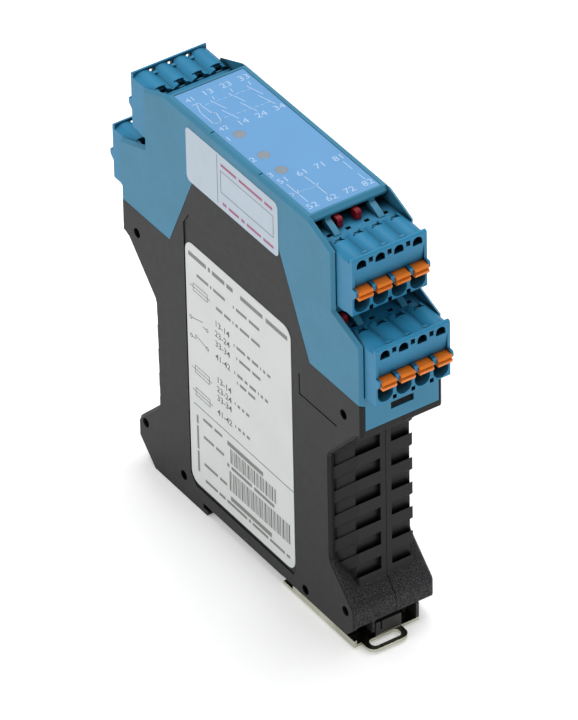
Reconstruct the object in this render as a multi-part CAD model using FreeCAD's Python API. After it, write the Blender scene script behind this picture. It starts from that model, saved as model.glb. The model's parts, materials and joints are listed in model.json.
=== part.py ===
import FreeCAD, Part
import math
import os

# Safety relay in a 22.5 mm class DIN-rail housing, standing on its foot as it sits on a rail.
# +Z points away from the rail, Y runs along the 99 mm length (across the rail) and X is the
# module's width. The origin is under the middle of the housing. Lengths are in millimetres.

V = FreeCAD.Vector

# ---- overall -------------------------------------------------------------------------------
WIDTH = 22.6
LENGTH = 99.0
HEIGHT = 114.5
HALF_WIDTH = WIDTH / 2
HALF_LENGTH = LENGTH / 2
SIDE_WALL = 1.0
EDGE_BEVEL = 0.7
ENDS = {"front": 1, "rear": -1}

# ---- black lower housing: outline seen from the side, as distances from the middle ---------
SPLIT_Z = 73.6                # where the blue cap meets the black shells
FLANGE_BOTTOM = 64.1
FLANGE_BOTTOM_HALF = 47.5
WAIST_HALF = 36.0
WAIST_TOP = 51.6
WAIST_BOTTOM = 20.6
FOOT_HALF = 45.5
FOOT_TOP = 11.2
TONGUE_TOP = 107.4            # the black side walls rise between the cheeks as a wedge
TONGUE_TOP_HALF = 13.1
TONGUE_BASE_HALF = 28.8
END_WALL = 1.4
FLOOR_TOP = 4.4
SEAM_X = 0.45                 # the two shells meet here
SEAM_GAP = 0.08

# ---- rail seat and hook ---------------------------------------------------------------------
SEAT_Z = 2.7                  # the pad that rests on the rail
UNDERSIDE_Z = 2.8
SEAT_SPAN = (-15.8, 15.5)
RAIL_EDGE = 17.7              # a 35 mm rail with 0.2 mm of play
HOOK_TIP = 15.6
HOOK_SLOT = 1.2
FOOT_CUT_Z = 6.2              # the front of the foot is open below this height
FOOT_CUT_Y = -40.5

# ---- vents on both narrow ends ---------------------------------------------------------------
VENT_FACE = 41.9
VENT_CENTRE_X = 0.3
VENT_HALF_FRONT = 7.55
VENT_HALF_BACK = 10.3
VENT_RIB_HALF = 1.5           # solid rib left and right of the seam
VENT_DEPTH = 1.15
VENT_SIDE_DEPTH = 0.55
VENT_PITCH = 7.16
VENT_BAR = 3.5
VENT_FIRST_TOP = 53.4         # top of the highest bar, on the front face
VENT_COUNT = 6

# ---- blue cap -------------------------------------------------------------------------------
CHEEK_WALL = 0.9
CHEEK_INNER = HALF_WIDTH - CHEEK_WALL
CAP_BEVEL = 0.8
TOP_HALF = 29.45
TIER_HALF = 38.8
TIER_SHOULDER = 110.8
LOWER_SHOULDER_TOP = 94.4
LOWER_SHOULDER = 90.6
TOP_WALL = 1.5
SHELF = 1.1
PANEL_HALF_WIDTH = 10.1
PANEL_BOTTOM = 66.5
LATCH_WINDOW = (-3.1, 3.2, 69.8, 71.7)

# ---- plugs, in their own frame: y is the depth behind the front face, z the height -----------
POLES = (-7.62, -2.54, 2.54, 7.62)
PITCH = 5.08
TIERS = {"upper": (45.1, 95.8), "lower": (54.0, 76.0)}      # front face distance, bottom height
PLUG_HALF = 10.2
PLUG_DEPTH = 10.1
PLUG_SHOULDER = 14.6
PLUG_CREST = 15.55
PLUG_WALL_TOP = 15.95
PLUG_WALL = 0.9
LEDGE_Z = 12.8
TONGUE_END = 15.0
TONGUE_HALF = 9.6
FUNNEL_Z = 3.7
FUNNEL_WIDTH = 4.2
FUNNEL_HEIGHT = 5.6
THROAT_Z = 3.5
THROAT_WIDTH = 2.9
THROAT_HEIGHT = 3.6
POCKET = (5.0, 14.2, 1.0, 12.4)
POCKET_HALF = 1.9
PUSHER_HALF = 1.92
PUSHER_Z = (5.6, 7.65)
POST_HALF = 0.5
PIN_Z = 4.2
PIN_SIDE = 1.0
PIN_TAIL = 19.6

# ---- headers ----------------------------------------------------------------------------------
HEADER_FRONT = 10.4
HEADER_BACK = 17.7
HEADER_WALL = 1.5
HEADER_TOP = 14.4
HEADER_HALF = 10.25
ARM_X = 6.0
ARM_HALF = 0.8

# ---- labels and windows ----------------------------------------------------------------------
RIM_NOTCHES = (10.7, -9.0)
FILM_HALF_X = 9.6
FILM_HALF_Y = 27.9
FILM_RECESS = 0.35
FILM_THICK = 0.2
WINDOW_X = -5.5
WINDOW_Y = (6.8, -3.05, -10.1)
WINDOW_R = 1.5
LABEL_RECESS = 0.25
LABEL_THICK = 0.12

# ---- circuit board ---------------------------------------------------------------------------
BOARD_X = (-10.0, -8.4)

# ---- foot catch --------------------------------------------------------------------------------
CATCH_TRAVEL = 2.5
CATCH_Z = (0.7, 1.5)
CATCH_FLANGE_TOP = 2.6
CATCH_CLEARANCE = 0.1
CATCH_X = (-11.3, 7.0)
CATCH_FRONT = -45.3
LOOP_CENTRE = -3.7
SPRING_CENTRE = (-3.1, 4.9)
SPRING_SPAN = (-39.5, -29.4)

# Joining posts: (y, z) of the six pairs of post and socket
POSTS = ((43.05, 67.05), (-42.4, 67.4), (42.05, 11.5), (25.9, 6.0), (-25.35, 4.9), (-41.9, 9.6))


# ---- helpers -----------------------------------------------------------------------------------

def prism(outline, x0, x1):
    """An outline of (y, z) points extruded along X."""
    corners = [V(x0, y, z) for y, z in outline]
    face = Part.Face(Part.makePolygon(corners + corners[:1]))
    return face.extrude(V(x1 - x0, 0, 0))


def box(x0, x1, y0, y1, z0, z1):
    return Part.makeBox(x1 - x0, y1 - y0, z1 - z0, V(x0, y0, z0))


def rod(radius, start, end):
    axis = end - start
    return Part.makeCylinder(radius, axis.Length, start, axis)


def mirrored(points):
    """Adds the other half of a symmetric outline, given from the top down on the -Y side."""
    return [(-d, z) for d, z in points] + [(d, z) for d, z in reversed(points)]


def strip(path, thickness):
    """The outline of a bent sheet: a path of (y, z) points given a thickness, with mitred bends."""
    half = thickness / 2
    left, right = [], []
    for i, (y, z) in enumerate(path):
        before = path[max(i - 1, 0)]
        after = path[min(i + 1, len(path) - 1)]
        start = math.atan2(z - before[1], y - before[0]) if i else None
        end = math.atan2(after[1] - z, after[0] - y) if i < len(path) - 1 else None
        start = end if start is None else start
        end = start if end is None else end
        turn = (end - start + math.pi) % (2 * math.pi) - math.pi
        angle = start + turn / 2 + math.pi / 2
        reach = half / math.cos(turn / 2)
        left.append((y + reach * math.cos(angle), z + reach * math.sin(angle)))
        right.append((y - reach * math.cos(angle), z - reach * math.sin(angle)))
    return left + right[::-1]


def obround(width, height, x, y, z):
    """An upright slot with round ends, as a wire in a plane across Y."""
    r = width / 2
    low, high = z - (height / 2 - r), z + (height / 2 - r)
    edges = [
        Part.Arc(V(x + r, y, high), V(x, y, high + r), V(x - r, y, high)).toShape(),
        Part.LineSegment(V(x - r, y, high), V(x - r, y, low)).toShape(),
        Part.Arc(V(x - r, y, low), V(x, y, low - r), V(x + r, y, low)).toShape(),
        Part.LineSegment(V(x + r, y, low), V(x + r, y, high)).toShape(),
    ]
    return Part.Wire(edges)


def rounded_label(y0, y1, z0, z1, radius, x0, x1):
    """A flat label with round corners, lying across X."""
    sheet = box(x0, x1, y0, y1, z0, z1)
    corners = [e for e in sheet.Edges if abs(e.tangentAt(e.FirstParameter).x) > 0.9]
    return sheet.makeFillet(radius, corners)


def place(shape, tier, end):
    """Moves a shape from a plug's own frame to its place in the module."""
    front, bottom = TIERS[tier]
    moved = shape.copy()
    moved.translate(V(0, -front, bottom))
    return moved if end == "front" else moved.mirror(V(0, 0, 0), V(0, 1, 0))


def on_side(edge):
    """True for an edge that lies in one of the module's two flat sides."""
    return all(abs(abs(v.X) - HALF_WIDTH) < 1e-4 for v in edge.Vertexes)


def middle(edge):
    return edge.valueAt((edge.FirstParameter + edge.LastParameter) / 2)


# ---- black lower housing ---------------------------------------------------------------------

def taper_z(distance):
    """Height of the flange's slanted underside at a distance from the middle."""
    slope = (FLANGE_BOTTOM - WAIST_TOP) / (FLANGE_BOTTOM_HALF - WAIST_HALF)
    return WAIST_TOP + (distance - WAIST_HALF) * slope


def foot_slope_z(distance):
    """Height of the foot's slanted top at a distance from the middle."""
    slope = (FOOT_TOP - WAIST_BOTTOM) / (FOOT_HALF - WAIST_HALF)
    return WAIST_BOTTOM + (distance - WAIST_HALF) * slope


def shell_outline():
    """The side view of the two shells, from the wedge between the cheeks down to the hook."""
    side = [
        (TONGUE_TOP_HALF, TONGUE_TOP),
        (TONGUE_BASE_HALF, SPLIT_Z),
        (HALF_LENGTH, SPLIT_Z),
        (HALF_LENGTH, FLANGE_BOTTOM),
        (FLANGE_BOTTOM_HALF, FLANGE_BOTTOM),
        (WAIST_HALF, WAIST_TOP),
        (WAIST_HALF, WAIST_BOTTOM),
        (FOOT_HALF, FOOT_TOP),
    ]
    front_toe = [(-FOOT_HALF, 6.0), (-42.3, UNDERSIDE_Z)]
    y0, y1 = SEAT_SPAN
    seat = [(y0, UNDERSIDE_Z), (y0, SEAT_Z), (y1, SEAT_Z), (y1, UNDERSIDE_Z)]
    hook = [
        (RAIL_EDGE, UNDERSIDE_Z),
        (RAIL_EDGE, SEAT_Z - HOOK_SLOT),
        (HOOK_TIP + 0.4, SEAT_Z - HOOK_SLOT),
        (HOOK_TIP, 1.1),
        (HOOK_TIP, 0.6),
        (HOOK_TIP + 0.6, 0),
    ]
    rear_toe = [(38.5, 0), (FOOT_HALF, 7.0)]
    down = [(-d, z) for d, z in side]
    up = [(d, z) for d, z in reversed(side)]
    return down + front_toe + seat + hook + rear_toe + up


def cavity_outline():
    """The hollow inside the shells. It is open upwards, where the cap closes it."""
    inner_waist = WAIST_HALF - END_WALL
    side = [
        (HALF_LENGTH + 5, HEIGHT + 5),
        (HALF_LENGTH + 5, PANEL_BOTTOM - 0.1),
        (47.7, PANEL_BOTTOM - 0.1),
        (inner_waist, taper_z(inner_waist) + 1.9),
        (inner_waist, foot_slope_z(inner_waist) - 2.0),
        (FOOT_HALF - END_WALL, foot_slope_z(FOOT_HALF - END_WALL) - 2.0),
    ]
    front = [(-(FOOT_HALF - END_WALL), 7.4), (-42.5, 7.4), (-42.5, FOOT_CUT_Z + 1.2), (-39.3, FOOT_CUT_Z + 1.2)]
    floor = [(-39.3, FLOOR_TOP), (38.0, FLOOR_TOP), (FOOT_HALF - END_WALL, 8.4)]
    down = [(-d, z) for d, z in side]
    up = [(d, z) for d, z in reversed(side)]
    return down + [front[0], front[3]] + floor + up


def vent_plan(inset, face):
    """Plan of a vent stack: a trapezium that narrows towards its outer face."""
    lean = (VENT_HALF_BACK - VENT_HALF_FRONT) / (VENT_FACE - WAIST_HALF)
    back = WAIST_HALF - 1.2
    front_half = VENT_HALF_FRONT + (VENT_FACE - face) * lean - inset
    back_half = VENT_HALF_BACK - inset
    corners = [(-front_half, -face), (-back_half, -WAIST_HALF), (-back_half, -back),
               (back_half, -back), (back_half, -WAIST_HALF), (front_half, -face)]
    return [V(VENT_CENTRE_X + x, y, 0) for x, y in corners]


def vent_body(inset, face):
    plan = vent_plan(inset, face)
    return Part.Face(Part.makePolygon(plan + plan[:1])).extrude(V(0, 0, HEIGHT))


def vent_stack():
    """Slanted louvre bars on the narrow end: their channels run down and inwards at 45 degrees."""
    bars = vent_body(0, VENT_FACE)
    core = vent_body(VENT_SIDE_DEPTH, VENT_FACE - VENT_DEPTH)
    rib = box(SEAM_X - VENT_RIB_HALF, SEAM_X + VENT_RIB_HALF, -VENT_FACE, -WAIST_HALF, 0, HEIGHT)
    back = VENT_FACE - 36.0 + 1.6
    for i in range(VENT_COUNT + 1):
        low = VENT_FIRST_TOP - i * VENT_PITCH
        high = low + VENT_PITCH - VENT_BAR
        front = -VENT_FACE - 1
        channel = [(front, low + 1), (front, high + 1), (front + back + 1, high - back), (front + back + 1, low - back)]
        bars = bars.cut(prism(channel, -HALF_WIDTH, HALF_WIDTH))
    keep = [
        (-VENT_FACE - 1, taper_z(VENT_FACE + 1) + 1.0),
        (-VENT_FACE - 1, foot_slope_z(VENT_FACE + 1) - 1.0),
        (-WAIST_HALF + 1.3, foot_slope_z(WAIST_HALF - 1.3) - 1.0),
        (-WAIST_HALF + 1.3, taper_z(WAIST_HALF - 1.3) + 1.0),
    ]
    return bars.fuse([core, rib]).common(prism(keep, -HALF_WIDTH, HALF_WIDTH))


def lower_housing():
    """Both black shells as one hollow body, before it is split along the seam."""
    body = prism(shell_outline(), -HALF_WIDTH, HALF_WIDTH)
    rim = [e for e in body.Edges if on_side(e) and 5.0 < middle(e).z < SPLIT_Z - 0.5]
    body = body.makeChamfer(EDGE_BEVEL, rim)
    inner = HALF_WIDTH - SIDE_WALL
    body = body.cut(prism(cavity_outline(), -inner, inner))
    stack = vent_stack()
    additions = [stack, stack.mirror(V(0, 0, 0), V(0, 1, 0)), spring_trough_walls()]
    additions += [latch_tongue(sign) for sign in ENDS.values()]
    body = body.fuse(additions)
    body = body.cut(Part.makeCompound(lower_cuts()))
    return body.fuse([foot_rib(), catch_lug(), catch_post()]).removeSplitter()


def spring_trough_walls():
    x, z = SPRING_CENTRE
    return box(x - 3.3, x + 3.3, -40.2, -27.6, UNDERSIDE_Z, z + 3.7)


def latch_tongue(sign):
    """A springy tongue behind the end panel, with the nose that shows in the panel's window."""
    profile = [(-46.9, 65.5), (-48.1, 65.5), (-48.1, 70.0), (-49.2, 70.0), (-48.1, 71.4), (-46.9, 71.4)]
    return prism([(sign * y, z) for y, z in profile], LATCH_WINDOW[0] + 0.2, LATCH_WINDOW[1] - 0.2)


def lower_cuts():
    """Everything taken out of the black housing: foot opening, spring trough, recess and grooves."""
    x, z = SPRING_CENTRE
    inner = HALF_WIDTH - SIDE_WALL
    recess = [(22.8, 9.0), (22.8, 82.5), (20.6, 85.9), (-19.6, 85.9), (-21.8, 82.3),
              (-21.8, 8.2), (-20.4, 6.2), (20.4, 6.2)]
    groove_x = (-HALF_WIDTH - 1, -HALF_WIDTH + 0.3)
    return [
        box(-inner, HALF_WIDTH + 1, -FOOT_HALF - 1, FOOT_CUT_Y, -1, FOOT_CUT_Z),
        box(x - 2.2, x + 2.2, SPRING_SPAN[0], -28.3, SEAT_Z - 1, z + 2.3),
        prism(recess, -HALF_WIDTH - 1, -HALF_WIDTH + LABEL_RECESS),
        box(groove_x[0], groove_x[1], -24.7, -24.3, 62.0, 68.0),
        box(groove_x[0], groove_x[1], -39.5, -24.3, 62.0, 62.4),
    ]


def foot_rib():
    """The upright rib in the open front of the foot."""
    return box(-6.1, -5.3, -45.2, FOOT_CUT_Y + 0.5, UNDERSIDE_Z, FOOT_CUT_Z + 0.5)


def catch_lug():
    """A hook-shaped lug that carries the free edge of the foot catch."""
    inner = CATCH_X[1] + 0.2
    ledge = CATCH_Z[0] - CATCH_CLEARANCE
    top = UNDERSIDE_Z + 0.2
    profile = [(inner, top), (inner, ledge), (inner - 1.1, ledge), (inner - 1.1, 0.1), (inner + 1.1, 0.1),
               (inner + 1.1, top)]
    corners = [V(x, -36, z) for x, z in profile]
    return Part.Face(Part.makePolygon(corners + corners[:1])).extrude(V(0, 10, 0))


def catch_post():
    """A T-shaped post through the slot of the foot catch."""
    ledge = CATCH_Z[0] - CATCH_CLEARANCE
    stem = box(-8.1, -7.2, -36, -33, ledge - 0.1, UNDERSIDE_Z + 0.2)
    return stem.fuse(box(-9.2, -6.1, -36, -33, 0.1, ledge))


def lower_shells():
    """Splits the black housing along the seam and adds the six posts and sockets."""
    body = lower_housing()
    far = 100
    left = body.common(box(-far, SEAM_X - SEAM_GAP / 2, -far, far, -far, 2 * far))
    right = body.common(box(SEAM_X + SEAM_GAP / 2, far, -far, far, -far, 2 * far))
    sockets, bores, posts = [], [], []
    for y, z in POSTS:
        seam_left = V(SEAM_X - SEAM_GAP / 2, y, z)
        seam_right = V(SEAM_X + SEAM_GAP / 2, y, z)
        sockets.append(rod(2.1, V(-HALF_WIDTH + 0.5, y, z), seam_left))
        bores.append(rod(1.3, V(-HALF_WIDTH - 1, y, z), V(SEAM_X + 1, y, z)))
        posts.append(rod(2.1, seam_right, V(HALF_WIDTH - 0.5, y, z)))
        posts.append(rod(1.15, V(-HALF_WIDTH + 1.7, y, z), V(SEAM_X + 2, y, z)))
    left = left.fuse(sockets).cut(Part.makeCompound(bores)).removeSplitter()
    right = right.fuse(posts).removeSplitter()
    return left, right


# ---- blue cap --------------------------------------------------------------------------------

def cheek_outline():
    gap = 0.1
    rise = (TONGUE_TOP - SPLIT_Z) / (TONGUE_BASE_HALF - TONGUE_TOP_HALF)
    outer = [
        (TOP_HALF, HEIGHT),
        (TIER_HALF, TIER_SHOULDER),
        (TIER_HALF, LOWER_SHOULDER_TOP),
        (HALF_LENGTH, LOWER_SHOULDER),
        (HALF_LENGTH, SPLIT_Z + gap),
    ]
    notch = [(TONGUE_BASE_HALF + gap, SPLIT_Z + gap), (TONGUE_TOP_HALF + gap - gap / rise, TONGUE_TOP + gap)]
    down = [(-d, z) for d, z in outer + notch]
    up = [(d, z) for d, z in reversed(outer + notch)]
    return down + up


def end_structure():
    """Shelves, end panel and the down-stand above the lower header, for the front end."""
    inner = TOP_HALF - 2.4
    front_upper, bottom_upper = TIERS["upper"]
    front_lower, bottom_lower = TIERS["lower"]
    wall_back = 16.85
    wall_front = 15.65
    shelf_upper = bottom_upper - 0.1
    shelf_lower = bottom_lower - 0.1
    lintel = bottom_lower + 17.2
    upper_shelf = [
        (-inner, shelf_upper),
        (-(front_lower - wall_front), shelf_upper),
        (-(front_lower - wall_front), lintel),
        (-(front_lower - wall_back), lintel),
        (-(front_lower - wall_back), shelf_upper - SHELF),
        (-inner, shelf_upper - SHELF),
    ]
    lower_shelf = [
        (-(front_lower - wall_back), shelf_lower),
        (-HALF_LENGTH, shelf_lower),
        (-HALF_LENGTH, SPLIT_Z + 0.1),
        (-HALF_LENGTH + 1.2, SPLIT_Z + 0.1),
        (-HALF_LENGTH + 1.2, shelf_lower - SHELF),
        (-(front_lower - wall_back), shelf_lower - SHELF),
    ]
    reach = CHEEK_INNER + 0.05
    panel = box(-PANEL_HALF_WIDTH, PANEL_HALF_WIDTH, -HALF_LENGTH, -HALF_LENGTH + 1.2, PANEL_BOTTOM, SPLIT_Z + 0.2)
    x0, x1, z0, z1 = LATCH_WINDOW
    panel = panel.cut(box(x0, x1, -HALF_LENGTH - 1, -HALF_LENGTH + 2, z0, z1))
    return [prism(upper_shelf, -reach, reach), prism(lower_shelf, -reach, reach), panel]


def retaining_arm(x):
    """A pillar under the lintel that runs out as a curved arm over the header, in a plug's frame."""
    top = [V(x, 15.65, 16.4), V(x, 13.7, 15.65), V(x, 11.6, 14.5)]
    curve = Part.Arc(*top).toShape()
    rest = Part.makePolygon([top[2], V(x, 16.85, 14.5), V(x, 16.85, 17.4), V(x, 15.65, 17.4), top[0]])
    side = Part.Face(Part.Wire([curve] + rest.Edges))
    arm = side.extrude(V(2 * ARM_HALF, 0, 0))
    arm.translate(V(-ARM_HALF, 0, 0))
    return arm


def upper_housing():
    outline = cheek_outline()
    parts = [prism(outline, side * CHEEK_INNER, side * HALF_WIDTH) for side in (-1, 1)]
    bevel = 0.95
    top = [(-TOP_HALF, HEIGHT - bevel), (-TOP_HALF + bevel, HEIGHT), (TOP_HALF - bevel, HEIGHT),
           (TOP_HALF, HEIGHT - bevel), (TOP_HALF, HEIGHT - TOP_WALL), (-TOP_HALF, HEIGHT - TOP_WALL)]
    parts.append(prism(top, -CHEEK_INNER - 0.1, CHEEK_INNER + 0.1))
    front = end_structure()
    for tier in TIERS:
        front += [place(retaining_arm(side * ARM_X), tier, "front") for side in (-1, 1)]
    parts += front + [p.mirror(V(0, 0, 0), V(0, 1, 0)) for p in front]
    cap = parts[0].fuse(parts[1:]).removeSplitter()
    cap = cap.makeChamfer(CAP_BEVEL, [e for e in cap.Edges if is_cap_rim(e)])
    cuts = [box(-FILM_HALF_X, FILM_HALF_X, -FILM_HALF_Y, FILM_HALF_Y, HEIGHT - FILM_RECESS, HEIGHT + 1)]
    cuts += [rod(WINDOW_R + 0.05, V(WINDOW_X, y, HEIGHT - 5), V(WINDOW_X, y, HEIGHT)) for y in WINDOW_Y]
    cuts += [box(-HALF_WIDTH - 1, -FILM_HALF_X, y, y + 0.35, HEIGHT - 0.25, HEIGHT + 1) for y in RIM_NOTCHES]
    return cap.cut(Part.makeCompound(cuts))


def is_cap_rim(edge):
    """The cap's outer rim: all side edges except those that meet the black shells."""
    mid = middle(edge)
    if not on_side(edge) or mid.z < SPLIT_Z + 1:
        return False
    return mid.z > HEIGHT - 6 or abs(mid.y) > TIER_HALF - 0.5


def top_film():
    z = HEIGHT - FILM_RECESS
    film = box(-FILM_HALF_X + 0.05, FILM_HALF_X - 0.05, -FILM_HALF_Y + 0.05, FILM_HALF_Y - 0.05, z, z + FILM_THICK)
    holes = [rod(WINDOW_R + 0.02, V(WINDOW_X, y, z - 1), V(WINDOW_X, y, z + 1)) for y in WINDOW_Y]
    return film.cut(Part.makeCompound(holes))


def side_label():
    x = -HALF_WIDTH + LABEL_RECESS
    return rounded_label(-21.0, 22.5, 7.2, 78.0, 3.0, x - LABEL_THICK, x)


def seal_sticker():
    return rounded_label(-17.1, 20.5, 96.2, 111.3, 1.5, -HALF_WIDTH - 0.08, -HALF_WIDTH)


def light_guide(y):
    """A clear rod from the lamp on the board up to its window in the top face."""
    top = HEIGHT - FILM_RECESS + FILM_THICK
    elbow = 104.6
    upright = rod(WINDOW_R, V(WINDOW_X, y, elbow - WINDOW_R), V(WINDOW_X, y, top))
    branch = rod(WINDOW_R - 0.2, V(BOARD_X[1], y, elbow), V(WINDOW_X, y, elbow))
    return upright.fuse(branch).removeSplitter()


# ---- plugs -------------------------------------------------------------------------------------

def plug_side():
    """Side view of a plug: shallow step below, raised front wall above."""
    return [
        (0.25, 0.35), (2.9, 0.35), (3.3, 0), (PLUG_DEPTH, 0), (PLUG_DEPTH, PLUG_SHOULDER),
        (PLUG_WALL, PLUG_SHOULDER), (PLUG_WALL, PLUG_WALL_TOP), (0.4, PLUG_WALL_TOP),
        (0, PLUG_WALL_TOP - 0.4), (0, 0.6),
    ]


def hump(x):
    """The round-backed cover over one pole."""
    half = PITCH / 2 - 0.06
    ends = V(x - half, PLUG_WALL - 0.05, PLUG_SHOULDER), V(x + half, PLUG_WALL - 0.05, PLUG_SHOULDER)
    arc = Part.Arc(ends[0], V(x, PLUG_WALL - 0.05, PLUG_CREST), ends[1]).toShape()
    base = Part.makePolygon([ends[1], ends[1] - V(0, 0, 0.2), ends[0] - V(0, 0, 0.2), ends[0]])
    return Part.Face(Part.Wire([arc] + base.Edges)).extrude(V(0, PLUG_DEPTH - PLUG_WALL + 0.05, 0))


def post(x, half):
    """The small upright between two pushers."""
    profile = [(0.6, 5.3), (0, 5.2), (-1.2, 6.4), (-1.3, 6.8), (-1.3, 7.7), (-1.05, 8.1), (0.6, 8.1)]
    return prism(profile, x - half, x + half)


def funnel(x):
    """The wire entry: an upright oval mouth that narrows to its throat, then runs into the pocket."""
    mouth = obround(FUNNEL_WIDTH, FUNNEL_HEIGHT, x, 0, FUNNEL_Z)
    throat = obround(THROAT_WIDTH, THROAT_HEIGHT, x, 3.2, THROAT_Z)
    cone = Part.makeLoft([mouth, throat], True, True)
    bore = Part.Face(throat).extrude(V(0, POCKET[0] - 3.1, 0))
    return [cone, bore]


def test_hole(x):
    """A D-shaped test opening in the raised wall, leading to the clamp's pocket."""
    r, low, high = 1.3, 13.0, 13.85
    ends = V(x - r, -0.1, high), V(x + r, -0.1, high)
    arc = Part.Arc(ends[0], V(x, -0.1, high + r), ends[1]).toShape()
    base = Part.makePolygon([ends[1], V(x + r, -0.1, low), V(x - r, -0.1, low), ends[0]])
    return Part.Face(Part.Wire([arc] + base.Edges)).extrude(V(0, 4.6, 0))


def back_window(x):
    """The opening at the back end of a pole's cover: a wide slot, a notch and the way down to the clamp."""
    return [
        box(x - 1.4, x + 1.4, 8.4, 8.8, PLUG_SHOULDER + 0.1, PLUG_CREST + 1),
        box(x - 1.0, x + 1.0, 8.6, PLUG_DEPTH + 0.1, PLUG_SHOULDER - 0.2, PLUG_CREST + 1),
        box(x - 1.0, x + 1.0, 8.6, 9.7, POCKET[3] - 0.1, PLUG_SHOULDER),
    ]


def plug_body():
    body = prism(plug_side(), -PLUG_HALF, PLUG_HALF)
    tongue = box(-TONGUE_HALF, TONGUE_HALF, PLUG_DEPTH - 0.1, TONGUE_END, 1.25, 13.15)
    between = [x + PITCH / 2 for x in POLES[:-1]]
    tabs = [box(x - 0.65, x + 0.65, 2.0, 2.9, PLUG_SHOULDER - 0.1, PLUG_SHOULDER + 0.5) for x in between]
    body = body.fuse([tongue] + [hump(x) for x in POLES] + tabs)
    y0, y1, z0, z1 = POCKET
    frame_half = PLUG_HALF - 0.75
    band = [(-0.1, LEDGE_Z), (-0.1, PUSHER_Z[1]), (0.65, PUSHER_Z[1]), (0.5, 8.6), (0, LEDGE_Z)]
    cuts = [prism(band, -frame_half, frame_half)]
    for x in POLES:
        cuts += funnel(x) + back_window(x)
        cuts.append(test_hole(x))
        cuts.append(box(x - POCKET_HALF, x + POCKET_HALF, y0, y1, z0, z1))
        cuts.append(box(x - 0.8, x + 0.8, y1 - 0.1, TONGUE_END + 1, PIN_Z - 0.8, PIN_Z + 0.8))
    for x in between:
        cuts.append(box(x - 0.55, x + 0.55, -1, 1.5, 0.5, 1.75))
        cuts.append(box(x - 0.58, x + 0.58, -1, 1.2, 13.7, 15.1))
        cuts.append(box(x - 0.8, x + 0.8, PLUG_WALL, 1.5, PLUG_SHOULDER - 0.5, PLUG_CREST + 1))
    body = body.cut(Part.makeCompound(cuts))
    posts = [post(x, POST_HALF) for x in between]
    posts += [post(side * (PLUG_HALF - 0.35), 0.35) for side in (-1, 1)]
    body = body.fuse(posts)
    slots = [box(x - PUSHER_HALF - 0.1, x + PUSHER_HALF + 0.1, -3, y0 + 1.2, PUSHER_Z[0] - 0.12, PUSHER_Z[1] + 0.12)
             for x in POLES]
    return body.cut(Part.makeCompound(slots)).removeSplitter()


def pusher(x):
    """An orange release pusher: a two-lobed head with a V groove, on a stem in the plug's slot."""
    low, high = PUSHER_Z
    profile = [(4.6, high), (0.3, high), (-1.5, high - 0.1), (-2.0, high - 0.5), (-1.35, high - 0.95),
               (-2.0, high - 1.35), (-1.8, low), (4.6, low)]
    return prism(profile, x - PUSHER_HALF, x + PUSHER_HALF)


def wire_clamp(x):
    """A bent spring clamp: contact strip below, windowed front and the leaf that grips the wire."""
    path = [(13.9, 3.2), (10.6, 3.2), (9.8, 1.5), (6.5, 1.5), (6.5, 11.0), (7.7, 11.9), (9.6, 6.2)]
    sheet = prism(strip(path, 0.4), x - 1.6, x + 1.6)
    return sheet.cut(box(x - 1.2, x + 1.2, 6.0, 7.0, 2.0, 5.2))


# ---- headers -------------------------------------------------------------------------------------

def header_body():
    """The shroud that a plug pushes into. Its top is the ledge seen behind the plug."""
    half = HEADER_HALF
    shell = box(-half, half, HEADER_FRONT, HEADER_BACK, 0, HEADER_TOP)
    hollow = box(-half + 0.45, half - 0.45, HEADER_FRONT - 1, HEADER_BACK - HEADER_WALL, 1.0, HEADER_TOP - 1.0)
    notches = []
    for x in POLES:
        notches.append(box(x - 0.65, x + 0.65, 12.2, 13.2, HEADER_TOP - 1.4, HEADER_TOP + 1))
        notches.append(box(x - PIN_SIDE / 2, x + PIN_SIDE / 2, 16, 18, PIN_Z - PIN_SIDE / 2, PIN_Z + PIN_SIDE / 2))
    return shell.cut(Part.makeCompound([hollow] + notches))


def header_pin(index):
    """A square contact pin, bent towards the board behind the header."""
    x = POLES[index]
    tail = PIN_TAIL + 1.3 * index
    half = PIN_SIDE / 2
    run = box(x - half, x + half, 11.0, tail + half, PIN_Z - half, PIN_Z + half)
    leg = box(BOARD_X[0] - 0.2, x + half, tail - half, tail + half, PIN_Z - half, PIN_Z + half)
    return run.fuse(leg).removeSplitter()


def coding_tab(x):
    profile = [(13.9, HEADER_TOP), (13.9, 16.4), (14.3, 16.8), (15.9, 16.8), (15.9, HEADER_TOP)]
    return prism(profile, x - 0.7, x + 0.7)


# ---- board and what it carries ---------------------------------------------------------------

def circuit_board():
    half = [(27.0, 111.0), (27.0, 94.0), (35.9, 93.0), (35.9, 76.5), (33.0, 74.0), (33.0, 10.0)]
    board = prism(mirrored(half), *BOARD_X)
    holes = []
    clearance = PIN_SIDE / 2 + 0.1
    for tier, (front, bottom) in TIERS.items():
        for index in range(len(POLES)):
            y = front - PIN_TAIL - 1.3 * index
            z = bottom + PIN_Z
            for sign in ENDS.values():
                holes.append(box(-20, 0, -sign * y - clearance, -sign * y + clearance, z - clearance, z + clearance))
    return board.cut(Part.makeCompound(holes))


def relay(z0):
    """A force-guided relay: base plate with feet and a cover with rounded edges."""
    x0 = BOARD_X[1]
    cover = box(x0 + 1.4, x0 + 13.4, -20, 20, z0, z0 + 16)
    edges = [e for e in cover.Edges if middle(e).x > x0 + 2]
    cover = cover.makeFillet(0.8, edges)
    base = box(x0 + 0.5, x0 + 1.5, -19.6, 19.6, z0 + 0.4, z0 + 15.6)
    feet = [box(x0 + 0.02, x0 + 0.6, y - 0.8, y + 0.8, z, z + 1.6) for y in (-17, 0, 17) for z in (z0 + 1, z0 + 13.4)]
    return cover.fuse([base] + feet).removeSplitter()


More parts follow.
